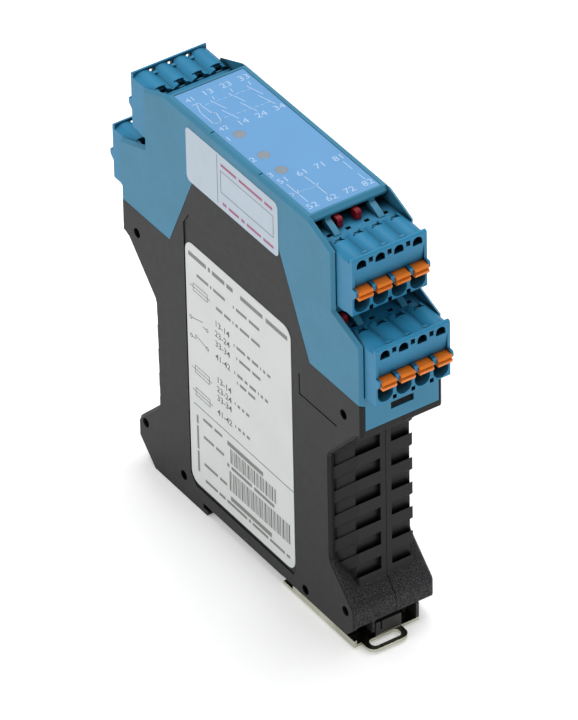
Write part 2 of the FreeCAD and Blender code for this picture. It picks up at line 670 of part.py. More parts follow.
def transformer():
    """A small ferrite transformer: square core with a round winding through its window."""
    x0 = BOARD_X[1] + 0.02
    core = box(x0 + 1, x0 + 12, -16, 2, 53, 69).cut(box(x0 + 3, x0 + 10, -17, 3, 56, 66))
    winding = rod(4.6, V(x0 + 6.5, -15, 61), V(x0 + 6.5, 1, 61))
    base = box(x0, x0 + 1.2, -16.5, 2.5, 52.6, 69.4)
    return core.fuse([winding, box(x0 + 3, x0 + 10, -9, -5, 55, 67), base]).removeSplitter()


def capacitor(y, z, radius, length):
    """An electrolytic capacitor, turned about X, with the crimp near its base."""
    x0 = BOARD_X[1] + 0.02
    profile = [(0, 0), (0, radius - 0.3), (1.4, radius - 0.3), (1.9, radius - 0.7), (2.4, radius - 0.3),
               (2.7, radius), (length - 0.4, radius), (length, radius - 0.5), (length, 0)]
    points = [V(x0 + a, y, z + r) for a, r in profile]
    face = Part.Face(Part.makePolygon(points + points[:1]))
    return face.revolve(V(x0, y, z), V(1, 0, 0), 360)


def fuse():
    """A glass cartridge fuse between two end caps, lying along Z."""
    x = BOARD_X[1] + 2.75
    y = -27.5
    tube = rod(2.3, V(x, y, 26), V(x, y, 44))
    caps = [rod(2.7, V(x, y, z), V(x, y, z + 5)) for z in (25, 40)]
    return tube.fuse(caps).removeSplitter()


def control_chip(y, z):
    """A small-outline chip with gull-wing legs along both long edges."""
    x0 = BOARD_X[1] + 0.02
    body = box(x0 + 0.2, x0 + 2.3, y - 3.0, y + 3.0, z - 5, z + 5)
    legs = []
    for side in (-1, 1):
        path = [(side * 4.4, 0.12), (side * 3.7, 0.12), (side * 3.5, 1.0), (side * 2.8, 1.0)]
        outline = strip(path, 0.22)
        for i in range(8):
            corners = [V(x0 + a, y + b, z - 4.6 + 1.27 * i) for b, a in outline]
            legs.append(Part.Face(Part.makePolygon(corners + corners[:1])).extrude(V(0, 0, 0.4)))
    return body.fuse(legs).removeSplitter()


# ---- foot catch --------------------------------------------------------------------------------

def foot_catch():
    """A bent steel catch: lip under the rail, slotted plate, side hem, front tab and pull loop."""
    z0, z1 = CATCH_Z
    x0, x1 = CATCH_X
    sheet = z1 - z0
    plate = box(x0, x1, CATCH_FRONT, -16.0, z0, z1)
    hem = box(x0, x0 + sheet, CATCH_FRONT, -20.0, z0, CATCH_FLANGE_TOP)
    outer = box(LOOP_CENTRE - 5.6, LOOP_CENTRE + 5.6, -49.5, CATCH_FRONT + 0.2, z0, z1)
    outer = outer.makeFillet(2.2, [e for e in outer.Edges if is_upright(e) and middle(e).y < -49])
    hole = box(LOOP_CENTRE - 4.1, LOOP_CENTRE + 4.1, -48.3, -45.6, z0 - 1, z1 + 1)
    hole = hole.makeFillet(1.1, [e for e in hole.Edges if is_upright(e)])
    tab = box(-5.1, 2.0, CATCH_FRONT, CATCH_FRONT + sheet, z0, 5.2).cut(box(-3.8, -3.4, -46, -44, 2.8, 6))
    flange = box(x1 - sheet, x1, CATCH_FRONT, FOOT_CUT_Y - 0.6, z0, 6.0)
    x, z = SPRING_CENTRE
    spring_tab = box(x - 1.9, x + 1.9, SPRING_SPAN[1], SPRING_SPAN[1] + sheet, z0, z + 1.7)
    slot = box(-8.5, -6.8, -36.1, -33 + CATCH_TRAVEL + 0.3, z0 - 1, z1 + 1)
    solid = plate.fuse([hem, outer.cut(hole), tab, flange, spring_tab]).cut(slot)
    return solid.removeSplitter()


def is_upright(edge):
    return abs(edge.tangentAt(edge.FirstParameter).z) > 0.99


def catch_spring():
    """A compression spring of round wire, lying along Y in its trough."""
    radius, wire, turns = 1.5, 0.28, 6
    length = SPRING_SPAN[1] - SPRING_SPAN[0] - 2 * wire - 0.1
    helix = Part.makeHelix(length / turns, length, radius)
    start = helix.Edges[0].valueAt(helix.Edges[0].FirstParameter)
    around = [math.radians(60 * i) for i in range(7)]
    section = Part.makePolygon([start + V(wire * math.cos(a), 0, wire * math.sin(a)) for a in around])
    coil = Part.Wire(helix).makePipeShell([section], True, True)
    coil.rotate(V(0, 0, 0), V(1, 0, 0), -90)
    x, z = SPRING_CENTRE
    coil.translate(V(x, SPRING_SPAN[0] + wire + 0.05, z))
    return coil


# ---- all the pieces --------------------------------------------------------------------------

def plug_pieces():
    """The four plugs with their pushers, clamps, headers, pins and coding tabs."""
    coding = {
        ("front", "upper"): (-3.8, 1.25),
        ("front", "lower"): (-8.9,),
        ("rear", "upper"): (1.25, 3.8),
        ("rear", "lower"): (-3.8, 8.9),
    }
    clamps = Part.makeCompound([wire_clamp(x) for x in POLES])
    pins = Part.makeCompound([header_pin(i) for i in range(len(POLES))])
    body, header = plug_body(), header_body()
    pieces = {}
    for end in ENDS:
        for tier in TIERS:
            name = end + "_" + tier
            pieces["plug_" + name] = place(body, tier, end)
            pieces["wire_clamps_" + name] = place(clamps, tier, end)
            pieces["header_" + name] = place(header, tier, end)
            pieces["pins_" + name] = place(pins, tier, end)
            tabs = Part.makeCompound([coding_tab(x) for x in coding[end, tier]])
            pieces["coding_tabs_" + name] = place(tabs, tier, end)
            for index, x in enumerate(POLES):
                pieces["pusher_%s_%d" % (name, index + 1)] = place(pusher(x), tier, end)
    return pieces


def all_pieces():
    left, right = lower_shells()
    pieces = {
        "lower_shell_left": left,
        "lower_shell_right": right,
        "upper_housing": upper_housing(),
        "top_film": top_film(),
        "side_label": side_label(),
        "seal_sticker": seal_sticker(),
        "circuit_board": circuit_board(),
        "relay_1": relay(14.0),
        "relay_2": relay(33.5),
        "transformer": transformer(),
        "capacitor_1": capacitor(10.0, 60.0, 5.0, 13.0),
        "capacitor_2": capacitor(22.5, 60.0, 5.0, 13.0),
        "fuse": fuse(),
        "control_chip_1": control_chip(27.0, 30.0),
        "control_chip_2": control_chip(0.0, 82.0),
        "foot_catch": foot_catch(),
        "catch_spring": catch_spring(),
    }
    for index, y in enumerate(WINDOW_Y):
        pieces["light_guide_%d" % (index + 1)] = light_guide(y)
    pieces.update(plug_pieces())
    return pieces


def main():
    os.makedirs("parts", exist_ok=True)
    for name, shape in all_pieces().items():
        if not shape.isValid():
            print("not valid:", name)
        print("%-26s solids %d volume %.1f" % (name, len(shape.Solids), shape.Volume))
        shape.exportStep("parts/" + name + ".step")


main()
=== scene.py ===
import json
import math

import bmesh
import bpy
from mathutils import Matrix, Vector


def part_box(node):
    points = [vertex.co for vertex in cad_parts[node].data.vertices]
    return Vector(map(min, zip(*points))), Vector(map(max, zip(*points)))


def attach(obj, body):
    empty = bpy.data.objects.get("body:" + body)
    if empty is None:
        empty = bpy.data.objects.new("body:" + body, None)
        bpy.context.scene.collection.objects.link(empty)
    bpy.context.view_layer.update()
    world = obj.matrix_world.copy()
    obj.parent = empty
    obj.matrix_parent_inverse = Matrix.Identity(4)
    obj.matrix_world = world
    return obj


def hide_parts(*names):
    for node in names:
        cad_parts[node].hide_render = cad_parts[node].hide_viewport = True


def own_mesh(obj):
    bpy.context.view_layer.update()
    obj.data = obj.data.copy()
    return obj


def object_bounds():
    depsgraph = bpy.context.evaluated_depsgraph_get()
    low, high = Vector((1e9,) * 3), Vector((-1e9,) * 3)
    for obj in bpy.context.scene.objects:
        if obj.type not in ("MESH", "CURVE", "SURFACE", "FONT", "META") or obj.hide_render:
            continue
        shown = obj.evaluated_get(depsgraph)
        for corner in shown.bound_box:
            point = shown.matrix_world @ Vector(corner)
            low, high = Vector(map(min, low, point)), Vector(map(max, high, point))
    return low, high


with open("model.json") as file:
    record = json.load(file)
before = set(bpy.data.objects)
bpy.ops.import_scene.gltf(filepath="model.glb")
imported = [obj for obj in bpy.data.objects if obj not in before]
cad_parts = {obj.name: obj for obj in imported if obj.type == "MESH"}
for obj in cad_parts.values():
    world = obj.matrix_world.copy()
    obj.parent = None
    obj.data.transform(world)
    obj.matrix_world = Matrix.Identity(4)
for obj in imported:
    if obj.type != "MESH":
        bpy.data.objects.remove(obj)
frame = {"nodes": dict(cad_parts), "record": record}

# Looks of the safety relay: moulded plastics, printed film and labels, plated steel, on a pale floor.
# Lengths are in metres. Layouts of print are in millimetres on their own sheet and scaled by MM.

MM = 0.001
CAD_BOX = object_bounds()
HOUSING = "housing"
SEAM_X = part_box("lower_shell_left")[1].x + 0.05 * MM

# The foot's slanted top, from its upper to its lower edge, as distances from the middle and heights.
SLOPE_TOP = (36.0 * MM, 20.6 * MM)
SLOPE_END = (45.5 * MM, 11.2 * MM)
FOOT_SLOPE = (SLOPE_TOP[1] - SLOPE_END[1]) / (SLOPE_END[0] - SLOPE_TOP[0])
FOOT_LINE = SLOPE_TOP[1] + SLOPE_TOP[0] * FOOT_SLOPE


# ---- materials ---------------------------------------------------------------------------------

def linear(r, g, b):
    """A display colour, 0 to 255, as the linear colour that shaders take."""
    def channel(value):
        value /= 255
        return value / 12.92 if value <= 0.04045 else ((value + 0.055) / 1.055) ** 2.4
    return channel(r), channel(g), channel(b), 1.0


def lighter(colour, factor):
    return tuple(min(255, c * factor) for c in colour)


class Shader:
    """A material with helpers that add its nodes. Coordinates are the piece's own, in metres."""

    def __init__(self, name, roughness=0.5, metallic=0.0, **sockets):
        self.material = bpy.data.materials.new(name)
        self.material.use_nodes = True
        self.tree = self.material.node_tree
        self.surface = self.tree.nodes["Principled BSDF"]
        self.surface.inputs["Roughness"].default_value = roughness
        self.surface.inputs["Metallic"].default_value = metallic
        for socket, value in sockets.items():
            self.surface.inputs[socket.replace("_", " ")].default_value = value
        self.place = self.node("ShaderNodeTexCoord").outputs["Object"]

    def node(self, kind, **settings):
        made = self.tree.nodes.new(kind)
        for key, value in settings.items():
            setattr(made, key, value)
        return made

    def feed(self, made, **values):
        """Sets or links a node's sockets by name, with _ for a blank."""
        for key, value in values.items():
            socket = made.inputs[key.replace("_", " ")]
            if isinstance(value, bpy.types.NodeSocket):
                self.tree.links.new(value, socket)
            else:
                socket.default_value = value
        return made

    def noise(self, size, detail=3.0, roughness=0.5, stretch=(1, 1, 1)):
        """Noise whose patches are about size metres wide."""
        mapping = self.feed(self.node("ShaderNodeMapping"), Vector=self.place, Scale=stretch)
        made = self.feed(self.node("ShaderNodeTexNoise"), Vector=mapping.outputs["Vector"], Scale=1 / size,
                         Detail=detail, Roughness=roughness)
        return made.outputs["Fac"]

    def cells(self, size):
        made = self.feed(self.node("ShaderNodeTexVoronoi"), Vector=self.place, Scale=1 / size)
        return made.outputs["Distance"]

    def axis(self, letter):
        split = self.feed(self.node("ShaderNodeSeparateXYZ"), Vector=self.place)
        return split.outputs[letter]

    def math(self, operation, a, b=0.0):
        made = self.node("ShaderNodeMath", operation=operation)
        for socket, value in zip(made.inputs, (a, b)):
            if isinstance(value, bpy.types.NodeSocket):
                self.tree.links.new(value, socket)
            else:
                socket.default_value = value
        return made.outputs[0]

    def steps(self, value, low, high, to_low=0.0, to_high=1.0):
        made = self.feed(self.node("ShaderNodeMapRange"), Value=value, From_Min=low, From_Max=high,
                         To_Min=to_low, To_Max=to_high)
        return made.outputs["Result"]

    def blend(self, share, first, second):
        made = self.node("ShaderNodeMix", data_type="RGBA")
        for socket, value in ((made.inputs[0], share), (made.inputs[6], first), (made.inputs[7], second)):
            if isinstance(value, bpy.types.NodeSocket):
                self.tree.links.new(value, socket)
            else:
                socket.default_value = value
        return made.outputs[2]

    def relief(self, height, depth, strength=1.0, below=None):
        made = self.feed(self.node("ShaderNodeBump"), Height=height, Distance=depth, Strength=strength)
        if below is not None:
            self.feed(made, Normal=below)
        return made.outputs["Normal"]

    def soft_edges(self, radius):
        return self.feed(self.node("ShaderNodeBevel", samples=4), Radius=radius).outputs["Normal"]

    def openness(self, reach):
        """1 on open surfaces, and less in corners, grooves and slots narrower than reach."""
        return self.feed(self.node("ShaderNodeAmbientOcclusion", samples=6), Distance=reach).outputs["AO"]

    def edge_mask(self, radius, openness):
        """About 1 along outer edges, and 0 on flats and along inner edges."""
        rounded = self.soft_edges(radius)
        plain = self.node("ShaderNodeNewGeometry").outputs["Normal"]
        product = self.node("ShaderNodeVectorMath", operation="DOT_PRODUCT")
        self.tree.links.new(rounded, product.inputs[0])
        self.tree.links.new(plain, product.inputs[1])
        edge = self.steps(product.outputs["Value"], 0.995, 0.86)
        return self.math("MULTIPLY", edge, self.steps(openness, 0.7, 0.9))

    def finish(self, colour, normal, roughness=None):
        self.feed(self.surface, Base_Color=colour, Normal=normal)
        if roughness is not None:
            self.feed(self.surface, Roughness=roughness)
        return self.material


def moulded(name, colour, grain=0.22 * MM, depth=0.012 * MM, roughness=(0.46, 0.52), edge=1.25, gloss=0.35,
            crevice_shade=0.5, reach=1.8 * MM, **sockets):
    """Moulded plastic: faint flow patches, fine spark grain, painted shade in corners and grooves, and outer
    edges lightened as a painted highlight.
    """
    s = Shader(name, Specular_IOR_Level=gloss, **sockets)
    patches = s.noise(9 * MM, detail=5)
    body = s.blend(s.steps(patches, 0.3, 0.7), linear(*lighter(colour, 0.98)), linear(*lighter(colour, 1.02)))
    openness = s.openness(reach)
    # Painted shade: the colour is darker in corners, grooves and slots, where less light reaches.
    body = s.blend(s.steps(openness, 0.3, 0.92), linear(*lighter(colour, crevice_shade)), body)
    # Painted highlight: outer edges are lighter, as if they catch the light.
    edge_share = s.math("MULTIPLY", s.edge_mask(0.18 * MM, openness), 0.6)
    body = s.blend(edge_share, body, linear(*lighter(colour, edge)))
    normal = s.relief(s.noise(grain, detail=2), depth, below=s.soft_edges(0.12 * MM))
    return s.finish(body, normal, s.steps(s.noise(1.5 * MM), 0.3, 0.7, *roughness))


def housing_plastic(name, colour):
    """The black shells: fine grain on the walls and a coarser spark-eroded grain on the foot's slopes, with
    painted glints on the slopes, painted shade in corners, vents and slots, and outer edges lightened as a
    painted highlight.
    """
    s = Shader(name, Specular_IOR_Level=0.15)
    across = s.math("ABSOLUTE", s.axis("Y"))
    height = s.axis("Z")
    fall = s.math("ADD", height, s.math("MULTIPLY", across, FOOT_SLOPE))
    below_slope = s.steps(fall, FOOT_LINE + 0.4 * MM, FOOT_LINE + 0.15 * MM)
    toe = s.math("MULTIPLY", s.steps(across, SLOPE_TOP[0], SLOPE_TOP[0] + 0.3 * MM), below_slope)
    off_side = s.math("ABSOLUTE", s.axis("X"))
    toe = s.math("MULTIPLY", toe, s.steps(off_side, 11.25 * MM, 11.0 * MM))
    patches = s.noise(9 * MM, detail=5)
    body = s.blend(s.steps(patches, 0.3, 0.7), linear(*lighter(colour, 0.97)), linear(*lighter(colour, 1.03)))
    fleck = s.steps(s.noise(0.2 * MM, detail=2), 0.5, 0.72)
    body = s.blend(s.math("MULTIPLY", fleck, 0.22), body, linear(*lighter(colour, 1.5)))
    # Painted glints: light specks on the foot's slopes stand in for the sparkle of their coarse grain.
    glint_spots = s.steps(s.noise(0.24 * MM, detail=2), 0.46, 0.66)
    toe_glints = s.math("MULTIPLY", s.math("MULTIPLY", toe, glint_spots), 0.7)
    body = s.blend(toe_glints, body, linear(*lighter(colour, 2.8)))
    openness = s.openness(2.5 * MM)
    # Painted shade: the black is darker in corners, vents and slots, where less light reaches.
    body = s.blend(s.steps(openness, 0.3, 0.9), linear(*lighter(colour, 0.4)), body)
    # Painted highlight: outer edges are lighter, as if they catch the light.
    edges = s.math("MULTIPLY", s.edge_mask(0.2 * MM, openness), 0.4)
    body = s.blend(edges, body, linear(*lighter(colour, 1.5)))
    off_seam = s.math("ABSOLUTE", s.math("SUBTRACT", s.axis("X"), SEAM_X))
    body = s.blend(s.steps(off_seam, 0.1 * MM, 0.16 * MM), linear(8, 8, 8), body)
    fine = s.relief(s.noise(0.25 * MM, detail=2), 0.016 * MM, below=s.soft_edges(0.14 * MM))
    coarse = s.math("MULTIPLY", s.noise(0.3 * MM, detail=3, roughness=0.6), toe)
    normal = s.relief(coarse, 0.07 * MM, below=fine)
    rough = s.math("ADD", s.steps(s.noise(1.5 * MM), 0.3, 0.7, 0.38, 0.43), s.math("MULTIPLY", toe, 0.18))
    return s.finish(body, normal, rough)


def printed_sheet(name, colour, roughness, metallic=0.0, wave=0.02 * MM, tooth=0.004 * MM, **sockets):
    """A printed film or label: nearly flat, with slow waves from being laid by hand and fine tooth."""
    s = Shader(name, metallic=metallic, **sockets)
    patches = s.steps(s.noise(9 * MM), 0.3, 0.7)
    body = s.blend(patches, linear(*lighter(colour, 0.985)), linear(*lighter(colour, 1.01)))
    waves = s.relief(s.noise(11 * MM, detail=1), wave)
    normal = s.relief(s.noise(0.12 * MM, detail=2), tooth, below=waves)
    return s.finish(body, normal, s.steps(s.noise(2.5 * MM), 0.3, 0.7, roughness - 0.04, roughness + 0.05))


def ink(name, colour, roughness=0.5):
    """Screen-printed ink: slightly uneven cover."""
    s = Shader(name)
    body = s.blend(s.steps(s.noise(0.35 * MM), 0.35, 0.75), linear(*colour), linear(*lighter(colour, 0.9)))
    cover = s.relief(s.noise(0.1 * MM), 0.003 * MM)
    return s.finish(body, cover, s.steps(s.noise(MM), 0.3, 0.7, roughness, roughness + 0.1))


def plated_steel(name, colour, grain=(1, 14, 14), roughness=(0.24, 0.42), painted_dark_reflection=None):
    """Rolled and plated steel: long fine rolling lines, cloudy plating and outer edges lightened as a painted
    highlight.
    """
    s = Shader(name, metallic=1.0)
    clouds = s.steps(s.noise(5 * MM, detail=4), 0.3, 0.7)
    body = s.blend(clouds, linear(*lighter(colour, 0.88)), linear(*lighter(colour, 1.05)))
    # Painted highlight: outer edges are lighter, as if they catch the light.
    edge = s.edge_mask(0.15 * MM, s.openness(0.8 * MM))
    body = s.blend(s.math("MULTIPLY", edge, 0.7), body, linear(*lighter(colour, 1.2)))
    lines = s.noise(1.2 * MM, detail=5, roughness=0.7, stretch=grain)
    normal = s.relief(lines, 0.006 * MM, below=s.soft_edges(0.1 * MM))
    rough = s.steps(lines, 0.3, 0.7, *roughness)
    # Painted reflection: where the mask is 1 the metal becomes a dark, rougher non-metal, standing in for
    # dark surroundings reflected in it.
    if painted_dark_reflection:
        dark_reflection_share = painted_dark_reflection(s)
        s.feed(s.surface, Metallic=s.math("SUBTRACT", 1.0, dark_reflection_share))
        body = s.blend(dark_reflection_share, body, linear(30, 29, 29))
        rough = s.math("ADD", rough, s.math("MULTIPLY", dark_reflection_share, 0.35))
    return s.finish(body, normal, rough)


def front_tabs(s):
    """1 on the tabs that stand up from the catch's sheet at its front, which are painted dark as a stand-in
    for the dark surroundings that their mirror-like metal reflects.
    """
    sheet_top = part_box("foot_catch")[0].z + 0.9 * MM
    raised = s.math("GREATER_THAN", s.axis("Z"), sheet_top)
    off_hem = s.math("GREATER_THAN", s.axis("X"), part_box("foot_catch")[0].x + MM)
    at_front = s.math("LESS_THAN", s.axis("Y"), -40 * MM)
    return s.math("MULTIPLY", s.math("MULTIPLY", raised, off_hem), at_front)


def board_laminate(name):
    """Green solder mask over glass cloth, with paler copper tracks and a fine weave."""
    s = Shader(name, roughness=0.35)
    tracks = s.feed(s.node("ShaderNodeTexBrick"), Vector=s.place, Scale=260.0, Mortar_Size=0.06)
    weave = s.math("ADD", s.math("SINE", s.math("MULTIPLY", s.axis("Y"), 9000.0)),
                   s.math("SINE", s.math("MULTIPLY", s.axis("Z"), 9000.0)))
    body = s.blend(tracks.outputs["Fac"], linear(16, 78, 44), linear(34, 112, 62))
    body = s.blend(s.steps(weave, -2, 2, 0, 0.18), body, linear(60, 120, 70))
    return s.finish(body, s.relief(weave, 0.01 * MM), s.steps(s.noise(2 * MM), 0.3, 0.7, 0.28, 0.42))


def ferrite(name):
    """Sintered ferrite with a coppery winding round the core's axis."""
    s = Shader(name, roughness=0.55)
    turns = s.math("SINE", s.math("MULTIPLY", s.axis("Y"), 14000.0))
    speckle = s.steps(s.cells(0.4 * MM), 0.1, 0.6)
    stone = s.blend(speckle, linear(46, 46, 50), linear(66, 65, 68))
    copper = s.blend(s.steps(turns, -1, 1), linear(120, 58, 26), linear(190, 104, 56))
    low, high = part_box("transformer")
    middle_z = (low.z + high.z) / 2
    off_axis = s.math("ABSOLUTE", s.math("SUBTRACT", s.axis("Z"), middle_z))
    body = s.blend(s.math("LESS_THAN", off_axis, 4.7 * MM), stone, copper)
    return s.finish(body, s.relief(turns, 0.05 * MM))


def fuse_glass(name):
    """A glass tube between two plated caps."""
    s = Shader(name)
    low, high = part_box("fuse")
    off_middle = s.math("ABSOLUTE", s.math("SUBTRACT", s.axis("Z"), (low.z + high.z) / 2))
    cap = s.math("GREATER_THAN", off_middle, (high.z - low.z) / 2 - 5 * MM)
    sand = s.steps(s.noise(0.6 * MM), 0.35, 0.65)
    glass = s.blend(sand, linear(205, 214, 210), linear(232, 236, 232))
    s.feed(s.surface, Metallic=cap)
    return s.finish(s.blend(cap, glass, linear(190, 188, 180)), s.relief(sand, 0.004 * MM),
                    s.steps(cap, 0, 1, 0.08, 0.3))


MATERIALS = {
    "housing_black": housing_plastic("black_shell", (30, 30, 31)),
    "cap_blue": moulded("blue_cap", (53, 124, 155), gloss=0.3),
    "plug_blue": moulded("blue_plug", (40, 126, 166), depth=0.006 * MM, roughness=(0.38, 0.44),
                         edge=1.2, gloss=0.28, crevice_shade=0.25, reach=4.5 * MM),
    "film_blue": printed_sheet("blue_film", (101, 156, 205), 0.45, Specular_IOR_Level=0.3),
    "label_grey": printed_sheet("grey_label", (208, 211, 210), 0.42, wave=0.03 * MM),
    "sticker_silver": printed_sheet("silver_sticker", (172, 186, 198), 0.34, metallic=0.25,
                                    wave=0.06 * MM, tooth=0),
    "board_green": board_laminate("board_laminate"),
    "relay_cover": moulded("relay_cover", (226, 222, 208), roughness=(0.28, 0.36)),
    "ferrite": ferrite("wound_ferrite"),
    "can_aluminium": plated_steel("capacitor_can", (160, 162, 168)),
    "fuse_glass": fuse_glass("fuse_tube"),
    "chip_black": moulded("chip_epoxy", (36, 36, 38), roughness=(0.5, 0.62)),
    "light_guide": moulded("light_guide", (140, 147, 155), roughness=(0.3, 0.4), edge=1.1,
                           Subsurface_Weight=0.1),
    "catch_steel": plated_steel("zinc_catch", (186, 186, 170), roughness=(0.16, 0.26),
                                painted_dark_reflection=front_tabs),
    "spring_steel": plated_steel("spring_steel", (190, 190, 192), roughness=(0.2, 0.32)),
    "pin_tinned": plated_steel("tinned_pin", (206, 204, 196), roughness=(0.24, 0.36)),
    "coding_red": moulded("red_coding", (128, 16, 32), roughness=(0.34, 0.44), edge=1.2),
    "pusher_orange": moulded("orange_pusher", (232, 120, 26), depth=0.005 * MM, roughness=(0.34, 0.44),
                             edge=1.15, crevice_shade=0.75, Subsurface_Weight=0.04),
}

for sub in frame["record"]["subparts"]:
    cad = frame["nodes"][sub["node"]]
    cad.data.materials.clear()
    cad.data.materials.append(MATERIALS[sub["material_slot"]])


# ---- spring ------------------------------------------------------------------------------------

def make_coil():
    """The catch's spring in round wire, made at one length; the real spring shortens towards its fixed end as
    the catch is pulled out.
    """
    low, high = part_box("catch_spring")
    wire = 0.28 * MM
    radius = (high.x - low.x) / 2 - wire
    length = high.y - low.y - 2 * wire
    middle = (low + high) / 2
    turns, steps = 6, 24
    curve = bpy.data.curves.new("catch_coil", "CURVE")
    curve.dimensions = "3D"
    curve.bevel_depth = wire
    curve.bevel_resolution = 3
    curve.use_fill_caps = True
    spline = curve.splines.new("POLY")
    spline.points.add(turns * steps)
    for i, point in enumerate(spline.points):
        turn = 2 * math.pi * i / steps
        along = low.y + wire + length * i / (turns * steps)
        point.co = (middle.x + radius * math.cos(turn), along, middle.z - radius * math.sin(turn), 1)
    holder = bpy.data.objects.new("coil_path", curve)
    coil = bpy.data.objects.new("catch_coil", bpy.data.meshes.new_from_object(holder))
    bpy.data.objects.remove(holder)
    bpy.context.scene.collection.objects.link(coil)
    coil.data.materials.clear()
    coil.data.materials.append(MATERIALS["spring_steel"])
    coil.data.shade_smooth()
    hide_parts("catch_spring")
    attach(coil, HOUSING)
    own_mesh(coil)


make_coil()


# ---- print -------------------------------------------------------------------------------------

class Sheet:
    """Collects printed strokes and numbers in millimetres on a flat sheet, then makes them one piece."""

    def __init__(self):
        self.mesh = bmesh.new()

    def outline(self, points):
        self.mesh.faces.new([self.mesh.verts.new((x, y, 0)) for x, y in points])

    def line(self, x0, y0, x1, y1, width=0.22):
        along = Vector((x1 - x0, y1 - y0)).normalized() * width / 2
        side = Vector((-along.y, along.x))
        start, end = Vector((x0, y0)) - along, Vector((x1, y1)) + along
        self.outline([start + side, start - side, end - side, end + side])

    def path(self, points, width=0.22):
        for (x0, y0), (x1, y1) in zip(points, points[1:]):
            self.line(x0, y0, x1, y1, width)

    def frame(self, x0, y0, x1, y1, width=0.22):
        self.path([(x0, y0), (x1, y0), (x1, y1), (x0, y1), (x0, y0)], width)

    def dashes(self, x0, y0, x1, y1, dash=0.9, gap=0.7, width=0.16):
        run = Vector((x1 - x0, y1 - y0))
        step = run.normalized()
        done = 0.0
        while done < run.length:
            a = Vector((x0, y0)) + step * done
            b = Vector((x0, y0)) + step * min(done + dash, run.length)
            self.line(a.x, a.y, b.x, b.y, width)
            done += dash + gap

    def words(self, x, y, height, lengths, gap=0.9):
        """Rows of small type are shown as plain strokes of word length."""
        for length in lengths:
            self.outline([(x, y), (x + length, y), (x + length, y + height), (x, y + height)])
            x += length + gap

    def number(self, text, x, y, size, wide=1.1, align="LEFT", bold=0.0):
        """A plain number, drawn with the built-in typeface a little wider than it is."""
        curve = bpy.data.curves.new("number", "FONT")
        curve.body = text
        curve.size = size
        curve.align_x = align
        curve.offset = bold
        curve.resolution_u = 3
        holder = bpy.data.objects.new("number", curve)
        made = bpy.data.meshes.new_from_object(holder)
        made.transform(Matrix.Translation((x, y, 0)) @ Matrix.Diagonal((wide, 1, 1, 1)))
        self.mesh.from_mesh(made)
        bpy.data.objects.remove(holder)
        bpy.data.curves.remove(curve)
        bpy.data.meshes.remove(made)

    def piece(self, name, to_frame, material):
        mesh = bpy.data.meshes.new(name)
        self.mesh.transform(to_frame @ Matrix.Scale(MM, 4))
        bmesh.ops.recalc_face_normals(self.mesh, faces=self.mesh.faces)
        self.mesh.to_mesh(mesh)
        self.mesh.free()
        mesh.materials.append(material)
        made = bpy.data.objects.new(name, mesh)
        bpy.context.scene.collection.objects.link(made)
        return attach(made, HOUSING)


def facing(right, up, origin):
    """A matrix that lays a sheet's x and y along two directions of the frame."""
    x, y = Vector(right), Vector(up)
    z = x.cross(y)
    return Matrix.Translation(origin) @ Matrix((x, y, z)).transposed().to_4x4()


def make_contact(sheet, x):
    """A relay contact's symbol on the film: a short lead and the two slanted strokes of its blades."""
    sheet.line(x, 22.8, x - 0.2, 21.6)
    sheet.line(x - 1.3, 21.5, x, 16.8)
    sheet.line(x - 1.2, 16.9, x + 0.1, 12.1)


def film_print():
    """White print on the top film: terminal numbers, contact symbols and their links."""
    sheet = Sheet()
    for x, upper, lower in ((-2.3, "13", "14"), (2.75, "23", "24"), (7.7, "33", "34")):
        sheet.number(upper, x, 23.9, 2.75, align="CENTER")
        sheet.number(lower, x + 0.1, 9.5, 2.75, align="CENTER")
        make_contact(sheet, x - 0.05)
    sheet.number("41", -7.2, 23.8, 2.3, align="CENTER")
    sheet.number("42", -7.2, 10.1, 2.3, align="CENTER")
    sheet.path([(-6.2, 22.4), (-6.4, 21.0), (-6.0, 17.1), (-5.2, 17.05), (-6.0, 13.5), (-6.8, 13.2)])
    sheet.path([(-8.1, 22.4), (-6.2, 22.4)])
    sheet.path([(-7.1, 22.1), (-8.15, 18.8), (-8.05, 13.6), (-6.8, 13.2)])
    sheet.dashes(-5.5, 20.9, 6.4, 20.2)
    sheet.dashes(-4.7, 14.2, 7.2, 13.3)
    for mark, y in (("1", 6.8), ("2", -3.1), ("3", -10.3)):
        sheet.number(mark, -8.6, y - 0.95, 2.6, align="CENTER")
    for x, upper, lower in ((-7.4, "51", "52"), (-2.2, "61", "62"), (2.7, "71", "72"), (7.7, "81", "82")):
        sheet.number(upper, x, -14.6, 2.75, align="CENTER")
        sheet.number(lower, x, -26.3, 2.75, align="CENTER")
    sheet.line(-7.6, -15.4, -7.6, -19.6)
    sheet.line(-7.7, -20.6, -6.9, -18.7)
    sheet.line(-7.5, -20.2, -7.45, -23.6)
    sheet.path([(-9.1, -18.8), (-8.5, -18.8), (-8.5, -19.9), (-9.1, -19.9)])
    sheet.line(-2.6, -15.4, -2.4, -19.2)
    sheet.line(-2.4, -19.9, -1.6, -19.1)
    sheet.line(-2.4, -19.9, -2.3, -23.7)
    sheet.dashes(-6.7, -19.4, -2.8, -19.9, 0.3, 0.35)
    sheet.line(7.7, -15.7, 7.75, -19.1)
    sheet.line(7.8, -21.3, 7.9, -24.0)
    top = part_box("top_film")[1].z
    return sheet.piece("film_print", facing((1, 0, 0), (0, 1, 0), (0, 0, top + 0.015 * MM)),
                       ink("white_ink", (176, 205, 236)))


def symbol_fuse(sheet, x, y):
    sheet.frame(x + 1.3, y - 1.05, x + 7.2, y + 1.05, 0.2)
    sheet.line(x, y, x + 8.3, y, 0.2)


